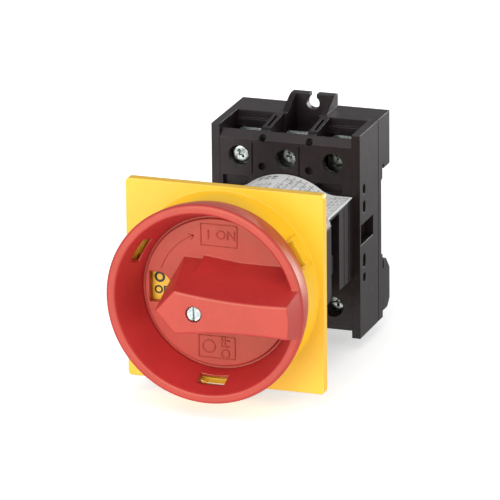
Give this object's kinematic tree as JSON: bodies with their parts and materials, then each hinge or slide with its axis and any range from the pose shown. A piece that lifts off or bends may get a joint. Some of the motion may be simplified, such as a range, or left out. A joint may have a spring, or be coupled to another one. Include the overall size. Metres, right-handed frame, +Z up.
{
  "type": "rotary isolator switch",
  "caption": "Three-pole rotary isolator switch for a panel door: rail-mounted switch body, square shaft, yellow plate and lockable red rotary handle.",
  "frame": {"origin": "point where the shaft axis meets the mounting panel's plane, behind the rail", "axes": "+Z up, +X right as seen from the front, the handle faces -Y"},
  "size_m": [0.065, 0.1195, 0.076],
  "materials": {
    "dark_moulding": "fine-grained dark brown-grey moulded plastic",
    "black_plastic": "black moulded plastic",
    "yellow_plastic": "satin signal-yellow plastic",
    "red_plastic": "satin red plastic",
    "label_paper": "white printed label film",
    "zinc_steel": "bright zinc-plated steel",
    "spring_steel": "spring steel",
    "copper": "bare copper alloy",
    "silver": "silver contact alloy",
    "seal_rubber": "black rubber"
  },
  "bodies": {
    "root": {"rear_base": "dark_moulding", "terminal_housing": "dark_moulding", "side_cover_right": "dark_moulding", "side_cover_left": "dark_moulding", "line_clamps": "zinc_steel", "load_clamps": "zinc_steel", "line_clamp_screws": "zinc_steel", "load_clamp_screws": "zinc_steel", "line_fixed_contacts": "copper", "load_fixed_contacts": "copper", "fixed_contact_tips": "silver", "detent_springs": "spring_steel", "mechanism_housing": "dark_moulding", "circuit_label": "label_paper", "mechanism_cover": "dark_moulding", "cover_screws": "zinc_steel", "rotor_bush": "black_plastic", "case_rivets": "zinc_steel", "front_plate": "yellow_plastic", "plate_seal": "seal_rubber", "door_clamp_frame": "black_plastic", "plate_screws": "zinc_steel", "latch_springs": "spring_steel", "latch_rivets": "zinc_steel"},
    "handle_group": {"handle": "red_plastic", "hub_clip": "spring_steel", "hub_seal": "seal_rubber", "handle_screw": "zinc_steel", "screw_washer": "zinc_steel", "drive_shaft": "zinc_steel", "shaft_coupler": "black_plastic", "cam_rotor": "black_plastic", "detent_wheel": "black_plastic", "rotor_circlip": "spring_steel"},
    "carrier_group": {"contact_carrier": "black_plastic", "contact_bridges": "copper", "bridge_tips": "silver", "contact_springs": "spring_steel"},
    "latch_group": {"rail_latch": "dark_moulding"}
  },
  "joints": [
    {"name": "handle_turn", "type": "hinge", "parent": "root", "child": "handle_group", "pos_m": [0, -0.11, 0], "axis": [0, 1, 0], "range_deg": [0, 90]},
    {"name": "contact_slide", "type": "slide", "parent": "root", "child": "carrier_group", "axis": [1, 0, 0], "range_m": [0, 0.003]},
    {"name": "rail_latch_slide", "type": "slide", "parent": "root", "child": "latch_group", "axis": [0, 0, -1], "range_m": [0, 0.004], "stiffness_N_per_m": 1200, "springref_m": -0.001, "deforming": ["latch_springs"]}
  ],
  "couplings": [
    {"joint": "contact_slide", "follows": "handle_turn", "m_per_rad": 0.0019099}
  ]
}
